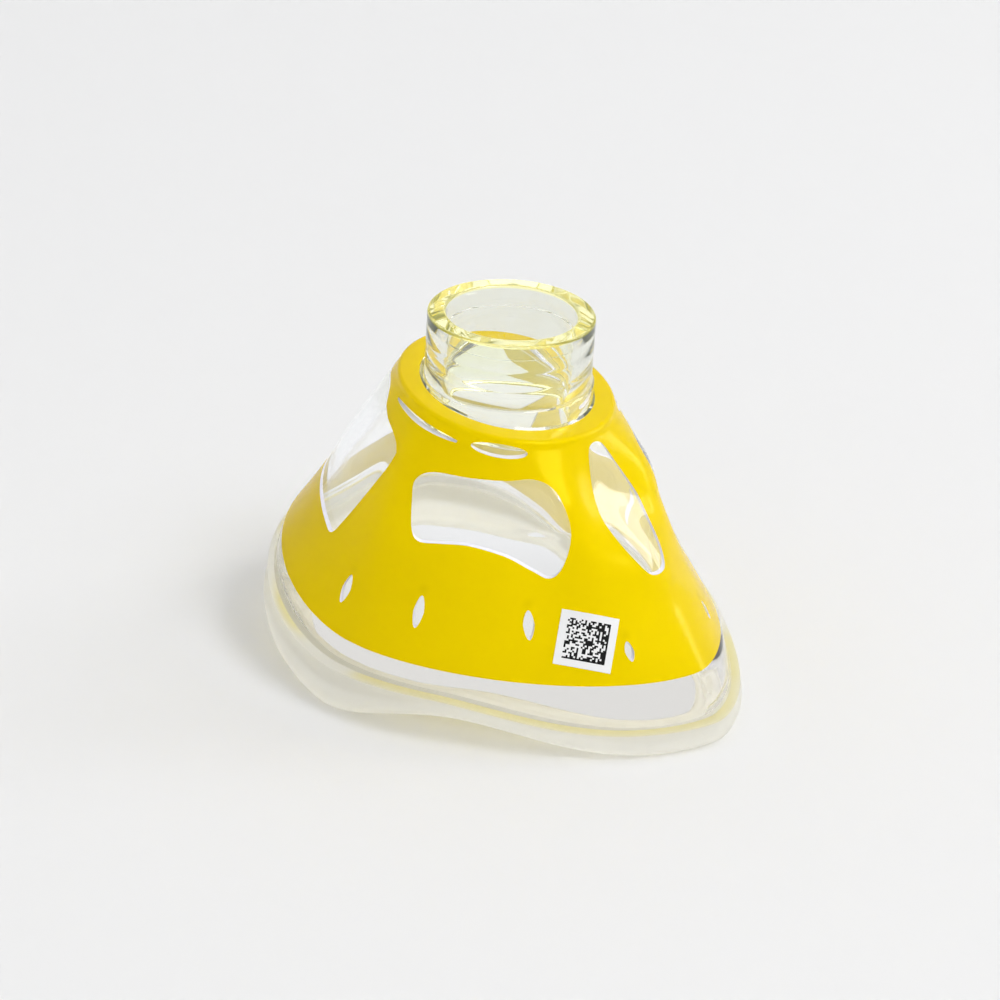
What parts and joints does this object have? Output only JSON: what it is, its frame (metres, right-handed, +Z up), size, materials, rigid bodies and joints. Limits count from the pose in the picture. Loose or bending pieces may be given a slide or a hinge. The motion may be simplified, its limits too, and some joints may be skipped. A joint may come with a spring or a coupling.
{
  "type": "anaesthesia face mask",
  "caption": "Small clear face mask with a coloured grip skin, a soft rolled seal and a round breathing socket on top.",
  "frame": {"origin": "under the middle of the mask's outline, at the foot of its seal", "axes": "+Z up along the socket's axis, +X toward the nose end, +Y toward the cheek without the label"},
  "size_m": [0.0921, 0.081, 0.065],
  "materials": {
    "clear_shell": "clear moulded plastic, glossy",
    "grip_skin": "yellow moulded plastic, smooth and slightly see-through",
    "face_seal": "milky soft elastomer, matt",
    "code_label": "white film label with a black mosaic"
  },
  "bodies": {
    "root": {"clear_shell": "clear_shell", "grip_skin": "grip_skin", "face_seal": "face_seal", "code_label": "code_label"}
  },
  "joints": []
}
